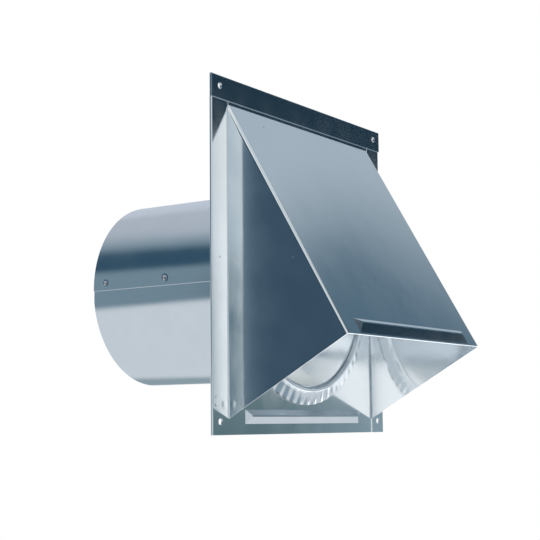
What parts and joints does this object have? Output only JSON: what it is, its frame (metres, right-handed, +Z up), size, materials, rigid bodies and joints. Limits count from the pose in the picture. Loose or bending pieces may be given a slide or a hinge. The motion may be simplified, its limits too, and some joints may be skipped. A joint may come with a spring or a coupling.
{
  "type": "wall vent",
  "caption": "Wall vent in folded galvanized sheet: sloping hood open downwards, wall plate with screw holes, round duct with a crimped collar, and a damper flap that swings on a wire.",
  "frame": {"origin": "on the duct's axis, in the plane of the wall that the side hems rest on", "axes": "+Y along the duct into the wall, -Y to the hood's front, +Z up"},
  "size_m": [0.2436, 0.2555, 0.2625],
  "materials": {
    "galvanized_sheet": "galvanized sheet steel, smooth and softly glossy",
    "flap_sheet": "galvanized sheet steel, slightly paler",
    "wire": "drawn steel wire"
  },
  "bodies": {
    "root": {"back_plate": "galvanized_sheet", "hood": "galvanized_sheet", "duct_pipe": "galvanized_sheet", "hinge_wire": "wire"},
    "flap": {"damper_flap": "flap_sheet"}
  },
  "joints": [
    {"name": "flap_swing", "type": "hinge", "parent": "root", "child": "flap", "pos_m": [0, -0.00595, 0.075], "axis": [-1, 0, 0], "range_deg": [0, 36]}
  ]
}
